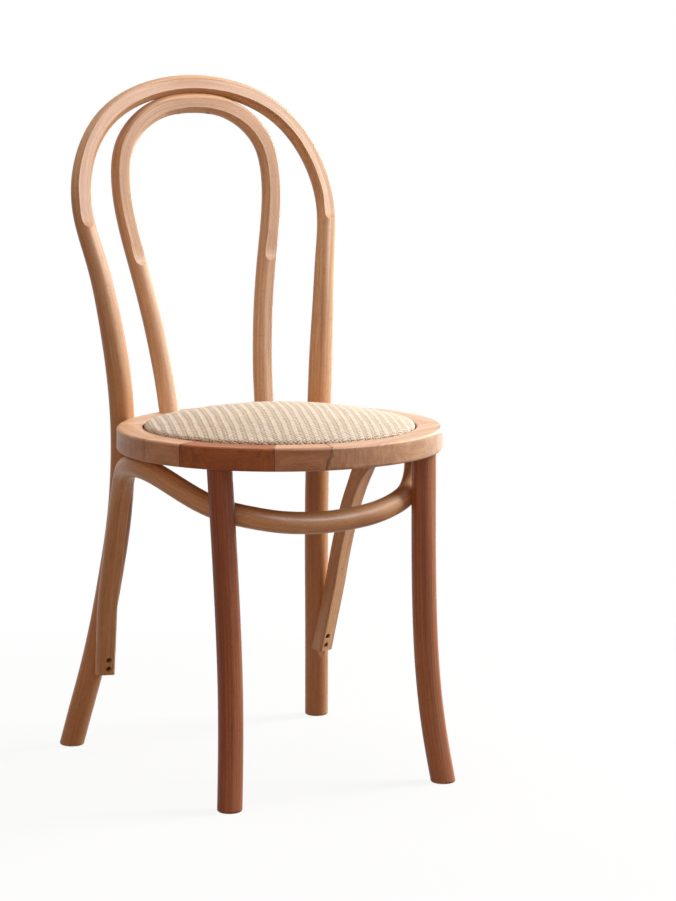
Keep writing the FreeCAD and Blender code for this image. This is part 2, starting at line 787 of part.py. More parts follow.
tenons = []
for side, sign in (("left", -1), ("right", 1)):
    flip = [Vector(p.x * sign, p.y, p.z) for p in front_path]
    leg = stick("front_" + side, flip, lambda share: "sizes.front_leg_radius", 11,
                Vector(1, 0, 0))[0]
    base = eased("front_foot_" + side, trimmed("front_base_" + side, leg, 0))
    above = box("front_above_" + side, "1000", "1000", "200",
                Vector(-500, -500, RING_UNDER))
    shaft = cut("front_shaft_" + side, base, above)
    tenon = cylinder("tenon_" + side, "sizes.tenon_radius",
                     "sizes.tenon_length + 5",
                     place(Vector(front_top.x * sign, front_top.y, RING_UNDER - 5),
                           Vector(0, 0, 1)))
    tenons.append(tenon)
    whole = fuse("front_whole_" + side, [shaft, tenon])
    parts["front_leg_" + side] = cut("front_leg_" + side, whole,
                                     fuse("front_bores_" + side, front_tools[side]))
ring_tools += tenons

brace_floor = trimmed("brace_floor", brace, size("brace_end_height"))
brace_planed = cut("brace_planed", brace_floor, fuse("riser_planes", riser_planes))
brace_faced = cut("brace_faced", brace_planed, brace_face)
under_ring = box("under_ring", "1000", "1000", "60", Vector(-500, -500, RING_UNDER))
brace_topped = cut("brace_topped", brace_faced, under_ring)
brace_seated = cut("brace_seated", brace_topped,
                   fuse("front_legs", [parts["front_leg_left"], parts["front_leg_right"]]))
parts["leg_brace"] = cut("leg_brace", brace_seated, fuse("brace_bores", brace_tools))

ring_notched = cut("ring_notched", ring_blank, hoop_faced)
ring_bored = cut("ring_bored", ring_notched, fuse("ring_bores", ring_tools))

# Joints of the ring, as bearing and lean of each glued face; the blocks lie between.
RING_JOINTS = [
    ("seat_ring_left_short", -171.0, 0.0),
    ("seat_ring_front_left", -153.5, 0.0),
    ("seat_ring_front", -119.0, 0.0),
    ("seat_ring_front_right", -100.5, 17.0),
    ("seat_ring_right", -22.0, 0.0),
    ("seat_ring_rear_right", 28.0, 0.0),
    ("seat_ring_rear_left", 90.0, 0.0),
    ("seat_ring_left", 150.0, 0.0),
]


def joint_side(name, bearing, lean, ahead_of):
    """A block that covers the half of the ring on one side of a glued face."""
    angle = math.radians(bearing)
    out = Vector(math.cos(angle), math.sin(angle), 0)
    along = Vector(-math.sin(angle), math.cos(angle), 0)
    tip = FreeCAD.Rotation(out, -lean)
    normal = tip.multVec(along) * (1 if ahead_of else -1)
    middle_point = Vector(SEAT_CENTRE.x, SEAT_CENTRE.y, (top + low) / 2)
    tool = make("Part::Box", name, Length="2.4 * sizes.seat_radius",
                Width="2.4 * sizes.seat_radius", Height="1.2 * sizes.seat_radius")
    base = place(middle_point, normal, out)
    shift = FreeCAD.Placement(Vector(-1.2 * outer, -1.2 * outer, 0), FreeCAD.Rotation())
    tool.Placement = base.multiply(shift)
    return tool


for i, (name, bearing, lean) in enumerate(RING_JOINTS):
    after = RING_JOINTS[(i + 1) % len(RING_JOINTS)]
    start = joint_side(name + "_from", bearing, lean, True)
    stop = joint_side(name + "_to", after[1], after[2], False)
    parts[name] = common(name, common(name + "_half", ring_bored, start), stop)

# Seat board, foam and cover of the drop-in pad.
pad_edge = wall - size("pad_gap")
cover_under = shelf + size("soft_gap")
board_low = cover_under + size("cover_thickness") + size("soft_gap")
board_top = board_low + size("board_thickness")
board_edge = pad_edge - size("cover_thickness") - size("soft_gap")
board = turned("board_blank", [
    (0, board_low, None), (board_edge, board_low, None), (board_edge, board_top, None),
    (0, board_top, None)])
parts["seat_board"] = cut("seat_board", board, fuse("board_bores", board_tools))


def dome(edge_r, edge_z, crown_z):
    """Middle point of the arc from the shoulder of the pad to its crown."""
    rise = crown_z - edge_z
    radius = (edge_r ** 2 + rise ** 2) / (2 * rise)
    half = math.asin(edge_r / radius) / 2
    return (radius * math.sin(half), crown_z - radius + radius * math.cos(half))


crown = top + size("pad_crown")
shoulder = top + size("pad_edge_rise")
skin = size("cover_thickness")
drawn = size("pad_draw_in")
shoulder_round = size("pad_shoulder")
side_middle = (shelf + shoulder) / 2
under_edge = pad_edge - size("cover_turn_in")
shoulder_r = pad_edge - shoulder_round
shoulder_z = shoulder + shoulder_round * 0.45
outer_dome = dome(shoulder_r, shoulder_z, crown)
inner_dome = dome(shoulder_r - skin, shoulder_z - skin, crown - skin)
cover_profile = [
    (under_edge, cover_under, None),
    (pad_edge - 1.0, cover_under, (pad_edge - drawn - 0.6, side_middle)),
    (pad_edge, shoulder - 2.0, quarter(shoulder_r, shoulder - 3.2, shoulder_round, 40)),
    (shoulder_r, shoulder_z, outer_dome),
    (0, crown, None),
    (0, crown - skin, inner_dome),
    (shoulder_r - skin, shoulder_z - skin,
     quarter(shoulder_r - skin, shoulder - 3.2 - skin, shoulder_round - 0.5, 40)),
    (pad_edge - skin, shoulder - 2.0 - skin, None),
    (pad_edge - skin, cover_under + skin, None),
    (under_edge, cover_under + skin, None),
]
parts["seat_cover"] = turned("seat_cover", cover_profile)
foam_edge = pad_edge - skin - size("soft_gap") - 0.4
foam_low = board_top
foam_dome = dome(shoulder_r - skin - 0.6, shoulder_z - skin - 0.6, crown - skin - 0.5)
foam_profile = [
    (0, foam_low, None),
    (foam_edge, foam_low, None),
    (foam_edge, shoulder - 3.6 - skin, None),
    (shoulder_r - skin - 0.6, shoulder_z - skin - 0.6, foam_dome),
    (0, crown - skin - 0.5, None),
]
parts["seat_foam"] = turned("seat_foam", foam_profile)

for name, obj in parts.items():
    obj.Label = name
doc.recompute()

for obj in doc.Objects:
    if "Invalid" in obj.State or "Error" in obj.State:
        raise RuntimeError("%s is %s" % (obj.Name, obj.State))
for name, obj in parts.items():
    shape = obj.Shape
    if shape.isNull() or not shape.isValid() or not shape.Solids:
        raise RuntimeError("%s has no valid solid" % name)

os.makedirs("parts", exist_ok=True)
for name, obj in parts.items():
    obj.Shape.exportStep(os.path.join("parts", name + ".step"))
    box_ = obj.Shape.BoundBox
    print("%-24s %2d solid(s) %10.0f mm3  x %.1f..%.1f y %.1f..%.1f z %.1f..%.1f" % (
        name, len(obj.Shape.Solids), obj.Shape.Volume, box_.XMin, box_.XMax, box_.YMin,
        box_.YMax, box_.ZMin, box_.ZMax))
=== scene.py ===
"""Looks of the bentwood bistro chair: beech, woven pad, fixings, light and camera.

Metres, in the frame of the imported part: +X to the viewer's right, +Y to the back, +Z up.
"""
import bpy
import math
import numpy as np
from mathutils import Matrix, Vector


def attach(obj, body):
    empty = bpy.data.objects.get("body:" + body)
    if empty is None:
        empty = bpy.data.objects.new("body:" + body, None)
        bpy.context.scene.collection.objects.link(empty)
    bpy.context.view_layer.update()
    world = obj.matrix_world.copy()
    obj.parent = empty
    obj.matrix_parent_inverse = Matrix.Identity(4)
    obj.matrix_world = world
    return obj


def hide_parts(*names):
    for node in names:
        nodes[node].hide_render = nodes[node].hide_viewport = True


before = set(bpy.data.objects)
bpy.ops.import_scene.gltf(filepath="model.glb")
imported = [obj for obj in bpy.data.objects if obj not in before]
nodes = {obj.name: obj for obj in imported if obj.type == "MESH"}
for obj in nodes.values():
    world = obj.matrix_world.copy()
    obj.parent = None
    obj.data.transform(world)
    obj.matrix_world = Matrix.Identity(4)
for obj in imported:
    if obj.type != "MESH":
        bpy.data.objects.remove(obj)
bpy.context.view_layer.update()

UP = (0.0, 0.0, 1.0)

# The tables of centre lines are in millimetres and count from a point on the floor this
# far in front of the frame's origin.
ORIGIN_BACK = 0.03574
SEAT_CENTRE = (0.0, 0.003 - ORIGIN_BACK)
SEAT_TOP = 0.450
RING_THICKNESS = 0.029

# right rear leg, from below its foot, and right half of the arch
REAR_LINE = [
    (186.2, 255.1, -25), (186.2, 255.1, 0.0), (175.3, 233.7, 70.0), (165.0, 213.7, 140.0),
    (155.7, 196.3, 220.0), (148.1, 181.4, 300.0), (144.8, 171.8, 380.0),
    (145.8, 168.8, 450.0), (151.5, 173.3, 530.0), (160.2, 183.0, 600.0),
    (170.1, 196.3, 660.0), (178.5, 211.3, 710.0), (173.5, 225.9, 754.9),
    (153.0, 242.2, 806.3), (113.9, 253.9, 844.5), (66.2, 260.7, 866.8),
    (0.0, 263.5, 876.3),
]
# right half of the inner hoop, from inside the ring
INNER_LINE = [
    (69.0, 182.0, 436.0), (69.9, 185.0, 450.0), (73.3, 195.5, 500.0),
    (80.2, 208.0, 560.0), (90.2, 220.1, 620.0), (102.4, 231.0, 680.0),
    (109.7, 238.7, 730.0), (109.6, 243.8, 765.3), (100.7, 249.0, 800.1),
    (77.7, 253.4, 828.3), (46.2, 256.1, 845.8), (0.0, 257.5, 852.0),
]
# right front leg, from below its foot into the ring
FRONT_LINE = [
    (154.0, -158.0, -20.0), (151.9, -154.9, 0.0), (145.4, -144.7, 60.0),
    (140.1, -134.6, 140.0), (139.3, -126.4, 240.0), (141.5, -120.4, 340.0),
    (144.1, -115.9, 421.0), (144.8, -115.0, 445.0),
]
# right half of the brace, from below its end on the rear leg to the middle of its front
BRACE_LINE = [
    (161.0, 196.5, 80.0), (161.5, 194.4, 100.4), (163.3, 190.6, 125.3),
    (165.6, 182.1, 160.2), (168.5, 172.5, 200.2), (169.3, 159.9, 240.1),
    (170.1, 144.9, 280.2), (172.0, 128.4, 320.5), (175.9, 105.9, 362.6),
    (181.0, 82.8, 391.4), (188.2, 50.5, 403.2), (191.1, 20.0, 407.1),
    (187.9, -5.4, 405.6), (174.0, -40.6, 393.2), (153.2, -70.4, 376.4),
    (130.8, -93.2, 364.4), (114.2, -103.9, 359.3), (86.5, -116.9, 352.5),
    (45.7, -120.9, 345.9), (0.0, -122.1, 343.3),
]


# Camera, with its focal length given against the longer side of the picture
FOCAL_LENGTH_PX = 3010.3
PICTURE_HEIGHT_PX = 901.0


def make_camera():
    data = bpy.data.cameras.new("camera")
    data.sensor_fit = "AUTO"
    data.sensor_width = 36.0
    data.lens = FOCAL_LENGTH_PX * data.sensor_width / PICTURE_HEIGHT_PX
    data.clip_end = 50.0
    data.dof.use_dof = False
    camera = bpy.data.objects.new("camera", data)
    bpy.context.scene.collection.objects.link(camera)
    place = Vector((-1.7430, -3.4192, 0.9719))
    aim = Vector((0.0829, -0.0357, 0.4120))
    camera.location = place
    camera.rotation_euler = (aim - place).to_track_quat("-Z", "Y").to_euler()
    bpy.context.scene.camera = camera


make_camera()
bpy.context.scene.view_settings.view_transform = "Standard"


# Node helpers
class Tree:
    """Short calls for the nodes of a new material, or of a new world."""

    def __init__(self, name, world=False):
        self.owner = (bpy.data.worlds if world else bpy.data.materials).new(name)
        self.owner.use_nodes = True
        self.tree = self.owner.node_tree
        self.tree.nodes.clear()
        self.result = self.add("ShaderNodeOutputWorld" if world
                               else "ShaderNodeOutputMaterial")

    def add(self, kind, **settings):
        node = self.tree.nodes.new(kind)
        for key, value in settings.items():
            setattr(node, key, value)
        return node

    def feed(self, socket, value):
        if isinstance(value, bpy.types.NodeSocket):
            self.tree.links.new(value, socket)
        else:
            socket.default_value = value

    def math(self, operation, a, b=0.0, c=0.0):
        node = self.add("ShaderNodeMath", operation=operation)
        for socket, value in zip(node.inputs, (a, b, c)):
            self.feed(socket, value)
        return node.outputs[0]

    def dot(self, a, b):
        node = self.add("ShaderNodeVectorMath", operation="DOT_PRODUCT")
        self.feed(node.inputs[0], a)
        self.feed(node.inputs[1], b)
        return node.outputs["Value"]

    def place(self):
        """The point itself at rest, in metres."""
        return self.add("ShaderNodeTexCoord").outputs["Object"]

    def facing_up(self):
        """1 on a face that looks up, 0 on an upright one, -1 on one that looks down."""
        return self.dot(self.add("ShaderNodeNewGeometry").outputs["Normal"], UP)

    def looked_at(self):
        """1 on rays that show a surface straight, mirrored or through glass, 0 on those
        that only carry light."""
        path = self.add("ShaderNodeLightPath")
        seen = path.outputs["Is Camera Ray"]
        for kind in ("Is Glossy Ray", "Is Transmission Ray"):
            seen = self.math("MAXIMUM", seen, path.outputs[kind])
        return seen

    def noise(self, vector, detail=2.0, roughness=0.5, distortion=0.0):
        """Cloudy values around a half, one cell to each unit of the vector."""
        node = self.add("ShaderNodeTexNoise")
        self.feed(node.inputs["Vector"], vector)
        self.feed(node.inputs["Scale"], 1.0)
        self.feed(node.inputs["Detail"], detail)
        self.feed(node.inputs["Roughness"], roughness)
        self.feed(node.inputs["Distortion"], distortion)
        return node.outputs[0]

    def span(self, value, low, high, to_low=0.0, to_high=1.0, smooth=True):
        """The value carried from low..high to to_low..to_high and held outside."""
        node = self.add("ShaderNodeMapRange")
        node.interpolation_type = "SMOOTHSTEP" if smooth else "LINEAR"
        self.feed(node.inputs["Value"], value)
        self.feed(node.inputs["From Min"], low)
        self.feed(node.inputs["From Max"], high)
        self.feed(node.inputs["To Min"], to_low)
        self.feed(node.inputs["To Max"], to_high)
        return node.outputs[0]

    def mix(self, factor, a, b):
        node = self.add("ShaderNodeMix", data_type="RGBA")
        self.feed(node.inputs[0], factor)
        self.feed(node.inputs[6], a)
        self.feed(node.inputs[7], b)
        return node.outputs[2]

    def scaled(self, vector, x, y, z, shift=0.0):
        """The vector in cells of a noise, so many to the metre along each axis, moved
        off so that no two noises agree."""
        node = self.add("ShaderNodeMapping", vector_type="POINT")
        self.feed(node.inputs["Vector"], vector)
        node.inputs["Scale"].default_value = (x, y, z)
        node.inputs["Location"].default_value = (shift, shift * 1.7, shift * 0.6)
        return node.outputs[0]

    def bump(self, height, strength, distance):
        """Normals of a relief, its distance in metres for a height of 1."""
        node = self.add("ShaderNodeBump")
        self.feed(node.inputs["Strength"], strength)
        self.feed(node.inputs["Distance"], distance)
        self.feed(node.inputs["Height"], height)
        return node.outputs[0]

    def surface(self, color, roughness, normal, **constants):
        shader = self.add("ShaderNodeBsdfPrincipled")
        self.feed(shader.inputs["Base Color"], color)
        self.feed(shader.inputs["Roughness"], roughness)
        self.feed(shader.inputs["Normal"], normal)
        for key, value in constants.items():
            shader.inputs[key.replace("_", " ")].default_value = value
        self.feed(self.result.inputs["Surface"], shader.outputs[0])
        return self.owner

    def blend(self, factor, shader_a, shader_b):
        """Two shaders in one, the second where the factor is 1."""
        node = self.add("ShaderNodeMixShader")
        self.feed(node.inputs[0], factor)
        self.feed(node.inputs[1], shader_a.outputs[0])
        self.feed(node.inputs[2], shader_b.outputs[0])
        self.feed(self.result.inputs["Surface"], node.outputs[0])
        return self.owner


def rgb(r, g, b):
    """A colour from its 8 bit sRGB numbers."""
    line = []
    for c in (r, g, b):
        c = c / 255.0
        line.append(c / 12.92 if c <= 0.04045 else ((c + 0.055) / 1.055) ** 2.4)
    return (*line, 1.0)


def shade(color, r, g, b):
    """A colour with each of its channels scaled."""
    return (color[0] * r, color[1] * g, color[2] * b, 1.0)


# Beech
def beech(name, pale, brown, seed, bearing=None, joints=(), end_up=False, low_shade=0.0):
    """Lacquered beech. Grain runs along the attribute "grain" of a bent stick, or for a
    sawn block straight along its bearing round the seat. The joints are bearings and leans
    of glue lines, end_up darkens an end that faces down, and the last argument is how much
    painted shade makes the tone darker and warmer near the floor than up in the back."""
    t = Tree(name)
    pale = shade(pale, 1.10, 1.10, 1.10)
    brown = shade(brown, 0.88, 0.85, 0.82)
    if bearing is None:
        grain = t.add("ShaderNodeAttribute", attribute_name="grain").outputs["Vector"]
    else:
        place = t.place()
        angle = math.radians(bearing)
        across = (math.cos(angle), math.sin(angle), 0.0)
        along = (-math.sin(angle), math.cos(angle), 0.0)
        combine = t.add("ShaderNodeCombineXYZ")
        for socket, axis in zip(combine.inputs, (across, UP, along)):
            t.feed(socket, t.dot(place, axis))
        grain = combine.outputs[0]
    # growth layers, broad and fine, in patches of a warmer tone
    broad = t.noise(t.scaled(grain, 55, 42, 2.2, seed), detail=3.0, roughness=0.55)
    layers = t.noise(t.scaled(grain, 420, 55, 3.0, seed + 3.1), detail=2.0,
                     roughness=0.6, distortion=0.6)
    fibres = t.noise(t.scaled(grain, 1500, 1500, 26, seed + 5.7), detail=3.0)
    fleck = t.noise(t.scaled(grain, 1500, 1500, 210, seed + 9.2), detail=1.0)
    patch = t.noise(t.scaled(grain, 18, 18, 5.0, seed + 14.0), detail=2.0)
    tone = t.math("MULTIPLY_ADD", t.span(broad, 0.36, 0.64), 0.52,
                  t.math("MULTIPLY", t.span(layers, 0.32, 0.68), 0.48))
    color = t.mix(tone, pale, brown)
    color = t.mix(t.span(patch, 0.42, 0.75, 0.0, 0.30), color,
                  shade(brown, 1.02, 0.84, 0.76))
    # painted shade: the tone goes darker and warmer towards the floor
    if low_shade:
        level = t.dot(t.place(), UP)
        color = t.mix(t.span(level, 0.30, 0.66, low_shade, 0.0), color,
                      shade(brown, 1.04, 0.81, 0.49))
    # long fibres and short dark flecks between them
    color = t.mix(t.span(fibres, 0.38, 0.70, 0.0, 0.42), color,
                  shade(brown, 0.80, 0.72, 0.64))
    color = t.mix(t.span(fleck, 0.62, 0.72, 0.0, 0.55), color,
                  shade(brown, 0.56, 0.46, 0.38))
    if end_up:
        foot = t.span(t.facing_up(), -0.97, -0.90, 1.0, 0.0)
        color = t.mix(t.math("MULTIPLY", foot, 0.55), color,
                      shade(brown, 0.5, 0.42, 0.34))
    for joint, lean in joints:
        place = t.place()
        angle = math.radians(joint)
        tip = math.radians(lean)
        side = Vector((-math.sin(angle), math.cos(angle), 0.0))
        face = side * math.cos(tip) - Vector(UP) * math.sin(tip)
        middle = Vector((SEAT_CENTRE[0], SEAT_CENTRE[1], SEAT_TOP - RING_THICKNESS / 2))
        away = t.math("SUBTRACT", t.dot(place, tuple(face)), face.dot(middle))
        line = t.span(t.math("ABSOLUTE", away), 0.00020, 0.00085, 1.0, 0.0)
        color = t.mix(t.math("MULTIPLY", line, 0.70), color, rgb(92, 52, 30))
        # a leaning joint has a wavy dark figure beside it
        if lean:
            bend = t.noise(t.scaled(place, 95, 95, 95, 4.4), detail=1.0)
            drawn = t.math("MULTIPLY_ADD", bend, 0.010, -0.0038)
            beside = t.math("ABSOLUTE", t.math("SUBTRACT", away, drawn))
            figure = t.span(beside, 0.0003, 0.0026, 0.62, 0.0)
            color = t.mix(figure, color, rgb(112, 62, 34))
    relief = t.math("MULTIPLY_ADD", fibres, 0.6, t.math("MULTIPLY", fleck, -0.5))
    rough = t.math("MULTIPLY_ADD", t.math("ADD", layers, fibres), 0.10, 0.35)
    return t.surface(color, rough, t.bump(relief, 0.25, 0.0004), Specular_IOR_Level=0.24,
                     Coat_Weight=0.08, Coat_Roughness=0.31)


def rotation_free_frame(points):
    """Tangents and one side vector carried along a line without twist."""
    tangents = np.gradient(points, axis=0)
    tangents /= np.linalg.norm(tangents, axis=1)[:, None]
    side = np.cross(tangents[0], (0.3, 1.0, 0.1))
    sides = []
    for tangent in tangents:
        side = side - tangent * np.dot(side, tangent)
        side = side / np.linalg.norm(side)
        sides.append(side)
    return tangents, np.array(sides)


def smooth_line(table, step=0.004, both=True):
    """Evenly spaced points along the Catmull-Rom line through a table of points. With
    both, the left half is the mirror of the right one, joined at the middle."""
    pts = np.array(table, dtype=float) / 1000.0
    pts[:, 1] -= ORIGIN_BACK
    if both:
        left = pts[:-1].copy()
        left[:, 0] *= -1
        pts = np.vstack([pts, left[::-1]])
    first = 2 * pts[0] - pts[1]
    last = 2 * pts[-1] - pts[-2]
    p = np.vstack([first, pts, last])
    out = []
    for i in range(1, len(p) - 2):
        u = np.linspace(0, 1, 24, endpoint=False)[:, None]
        a, b, c, d = p[i - 1], p[i], p[i + 1], p[i + 2]
        out.append(0.5 * (2 * b + (c - a) * u + (2 * a - 5 * b + 4 * c - d) * u ** 2
                          + (3 * b - a - 3 * c + d) * u ** 3))
    out.append(pts[-1:])
    out = np.vstack(out)
    run = np.concatenate([[0], np.cumsum(np.linalg.norm(np.diff(out, axis=0), axis=1))])
    even = np.arange(0, run[-1], step)
    return np.column_stack([np.interp(even, run, out[:, k]) for k in range(3)]), even


def grain_tree():
    """Geometry nodes that give each point its place along and across a centre line."""
    tree = bpy.data.node_groups.new("grain_along_line", "GeometryNodeTree")
    tree.interface.new_socket("Geometry", in_out="INPUT", socket_type="NodeSocketGeometry")
    tree.interface.new_socket("Line", in_out="INPUT", socket_type="NodeSocketObject")
    tree.interface.new_socket("Geometry", in_out="OUTPUT", socket_type="NodeSocketGeometry")
    add = tree.nodes.new
    link = tree.links.new
    start = add("NodeGroupInput")
    end = add("NodeGroupOutput")
    info = add("GeometryNodeObjectInfo")
    link(start.outputs["Line"], info.inputs["Object"])
    where = add("GeometryNodeInputPosition")
    near = add("GeometryNodeSampleNearest")
    link(info.outputs["Geometry"], near.inputs["Geometry"])
    link(where.outputs[0], near.inputs["Sample Position"])

    def sampled(name, kind):
        named = add("GeometryNodeInputNamedAttribute")
        named.data_type = kind
        named.inputs["Name"].default_value = name
        take = add("GeometryNodeSampleIndex")
        take.data_type = kind
        take.domain = "POINT"
        link(info.outputs["Geometry"], take.inputs["Geometry"])
        link(named.outputs["Attribute"], take.inputs["Value"])
        link(near.outputs["Index"], take.inputs["Index"])
        return take.outputs[0]

    def vector(operation, a, b):
        node = add("ShaderNodeVectorMath")
        node.operation = operation
        link(a, node.inputs[0])
        link(b, node.inputs[1])
        return node.outputs["Value" if operation == "DOT_PRODUCT" else "Vector"]

    away = vector("SUBTRACT", where.outputs[0], sampled("line_place", "FLOAT_VECTOR"))
    along = vector("DOT_PRODUCT", away, sampled("line_along", "FLOAT_VECTOR"))
    side = vector("DOT_PRODUCT", away, sampled("line_side", "FLOAT_VECTOR"))
    third = vector("DOT_PRODUCT", away, sampled("line_third", "FLOAT_VECTOR"))
    run = add("ShaderNodeMath")
    run.operation = "ADD"
    link(along, run.inputs[0])
    link(sampled("line_run", "FLOAT"), run.inputs[1])
    whole = add("ShaderNodeCombineXYZ")
    link(side, whole.inputs[0])
    link(third, whole.inputs[1])
    link(run.outputs[0], whole.inputs[2])
    store = add("GeometryNodeStoreNamedAttribute")
    store.data_type = "FLOAT_VECTOR"
    store.domain = "POINT"
    store.inputs["Name"].default_value = "grain"
    link(start.outputs["Geometry"], store.inputs["Geometry"])
    link(whole.outputs[0], store.inputs["Value"])
    link(store.outputs["Geometry"], end.inputs["Geometry"])
    return tree


GRAIN_TREE = grain_tree()


def follow_line(node, table, both=True, flip=False):
    """Give a CAD node the grain attribute of the bent stick along a table of points."""
    if flip:
        table = [(-x, y, z) for x, y, z in table]
    points, run = smooth_line(table, both=both)
    tangents, sides = rotation_free_frame(points)
    thirds = np.cross(tangents, sides)
    mesh = bpy.data.meshes.new("line_of_" + node)
    mesh.vertices.add(len(points))
    mesh.vertices.foreach_set("co", points.ravel())
    for name, data in (("line_place", points), ("line_along", tangents),
                       ("line_side", sides), ("line_third", thirds)):
        layer = mesh.attributes.new(name, "FLOAT_VECTOR", "POINT")
        layer.data.foreach_set("vector", np.ascontiguousarray(data).ravel())
    layer = mesh.attributes.new("line_run", "FLOAT", "POINT")
    layer.data.foreach_set("value", run)
    helper = bpy.data.objects.new("line_of_" + node, mesh)
    bpy.context.scene.collection.objects.link(helper)
    helper.hide_render = True
    helper.hide_viewport = True
    modifier = nodes[node].modifiers.new("grain", "NODES")
    modifier.node_group = GRAIN_TREE
    for item in GRAIN_TREE.interface.items_tree:
        if item.name == "Line":
            modifier[item.identifier] = helper


def dress(node, material):
    """Put a material in every slot of a CAD node."""
    obj = nodes[node]
    if not obj.material_slots:
        obj.data.materials.append(material)
    for slot in obj.material_slots:
        slot.material = material


follow_line("back_hoop", REAR_LINE)
follow_line("inner_hoop", INNER_LINE)
follow_line("front_leg_right", FRONT_LINE, both=False)
follow_line("front_leg_left", FRONT_LINE, both=False, flip=True)
follow_line("leg_brace", BRACE_LINE)

# the back hoop gets painted shade on its legs towards the floor
dress("back_hoop", beech("beech_back", rgb(234, 201, 166), rgb(206, 160, 118), 1.3,
                          end_up=True, low_shade=0.6))
dress("inner_hoop", beech("beech_inner", rgb(238, 206, 174), rgb(212, 170, 132), 7.9))
# the front legs have darker, redder tones than the hoops: partly their own wood and partly
# painted shade, most on the left leg
dress("front_leg_left", beech("beech_leg_left", rgb(184, 118, 76), rgb(144, 80, 46), 21.3,
                              end_up=True))
dress("front_leg_right", beech("beech_leg_right", rgb(204, 146, 106), rgb(166, 106, 68),
                               33.1, end_up=True))
dress("leg_brace", beech("beech_brace", rgb(236, 200, 160), rgb(212, 166, 120), 41.7))

# each block of the ring: bearings of its two joints and how far each leans, in degrees,
# and its pale and brown tones
RING = [
    ("seat_ring_left_short", (-171.0, -153.5), (0, 0), rgb(219, 177, 142), rgb(193, 147, 111)),
    ("seat_ring_front_left", (-153.5, -119.0), (0, 0), rgb(194, 122, 66), rgb(146, 80, 38)),
    ("seat_ring_front", (-119.0, -100.5), (0, 17), rgb(223, 181, 146), rgb(197, 149, 113)),
    ("seat_ring_front_right", (-100.5, -22.0), (17, 0), rgb(227, 191, 158), rgb(201, 159, 124)),
    ("seat_ring_right", (-22.0, 28.0), (0, 0), rgb(232, 199, 168), rgb(208, 169, 136)),
    ("seat_ring_rear_right", (28.0, 90.0), (0, 0), rgb(223, 185, 150), rgb(197, 153, 115)),
    ("seat_ring_rear_left", (90.0, 150.0), (0, 0), rgb(228, 193, 158), rgb(202, 161, 124)),
    ("seat_ring_left", (150.0, 189.0), (0, 0), rgb(221, 181, 146), rgb(197, 151, 115)),
]
for k, (node, ends, leans, pale, brown) in enumerate(RING):
    dress(node, beech("beech_" + node, pale, brown, 50.0 + 6.3 * k,
                      bearing=(ends[0] + ends[1]) / 2, joints=list(zip(ends, leans))))


# Fixings, board and dowels
def steel(name, tint, seed):
    """Plated steel with fine scratches and a cloudy tint."""
    t = Tree(name)
    place = t.place()
    cloud = t.noise(t.scaled(place, 260, 260, 260, seed), detail=3.0)
    scratch = t.noise(t.scaled(place, 3000, 500, 3000, seed), detail=2.0)
    color = t.mix(t.span(cloud, 0.35, 0.7), tint, shade(tint, 0.55, 0.5, 0.42))
    rough = t.math("MULTIPLY_ADD", scratch, 0.25, 0.24)
    return t.surface(color, rough, t.bump(scratch, 0.2, 0.0001), Metallic=1.0)


dark_steel = steel("steel_passivated", rgb(120, 84, 44), 2.0)
plain_steel = steel("steel_zinc", rgb(176, 178, 180), 5.0)
for node in ("brace_end_screws", "brace_leg_screws", "brace_ring_screws",
             "hoop_top_screws", "seat_board_screws"):
    dress(node, dark_steel)
for node in ("rear_leg_bolts", "rear_leg_washers"):
    dress(node, plain_steel)


def veneer():
    """Plywood: veneer on its faces and plies on its edge."""
    t = Tree("board_veneer")
    place = t.place()
    layers = t.noise(t.scaled(place, 70, 4, 10, 3.0), detail=3.0, distortion=0.8)
    fibres = t.noise(t.scaled(place, 1300, 30, 200, 4.0), detail=2.0)
    color = t.mix(t.span(layers, 0.3, 0.7), rgb(206, 176, 134), rgb(184, 146, 100))
    color = t.mix(t.span(fibres, 0.4, 0.75, 0.0, 0.35), color, rgb(150, 112, 72))
    ply = t.math("SINE", t.math("MULTIPLY", t.dot(place, UP), 4200.0))
    edge = t.span(t.math("ABSOLUTE", t.facing_up()), 0.2, 0.6, 1.0, 0.0)
    stripes = t.math("MULTIPLY", edge, t.span(ply, -0.2, 0.2, 0.0, 0.6))
    color = t.mix(stripes, color, rgb(140, 100, 62))
    return t.surface(color, t.math("MULTIPLY_ADD", fibres, 0.15, 0.55),
                     t.bump(fibres, 0.2, 0.0003), Specular_IOR_Level=0.35)


dress("seat_board", veneer())
dress("inner_hoop_dowels", beech("beech_dowel", rgb(214, 176, 132), rgb(186, 142, 98),
                                 91.0, bearing=0.0))


# Woven pad. Width of a cord with its gap, half of a cord alone in such widths, steps of
# the mesh across it, bearing of the bands and number of different cord tones
CORD = 0.00414
HALF_CORD = 0.37
STEPS = 6
RIB = math.atan2(-0.940, -0.341)
TONES = 4000
# how far a cord rises and sinks against its own roundness, height of the relief for 1 of
# that, how much cords differ in height, how far all of it is let in, and how far from the
# lower edge the relief starts and is whole
CRIMP = 0.62
RELIEF = 0.00092
UNEVEN = 0.00018
LET_IN = 0.0001
FADE_START = 0.004
FADE_LENGTH = 0.010
# the pad stays inside this radius, then turns in under the board, up beside it and closes
# above it, in rings of a radius and a height
PAD_RADIUS = 0.1744
BOARD_TOP = 0.4434
TURN_IN = [
    (0.1729, 0.4304), (0.1664, 0.4304), (0.1664, 0.4328), (0.1718, 0.4329),
    (0.1718, BOARD_TOP), (0.120, BOARD_TOP), (0.060, BOARD_TOP),
]


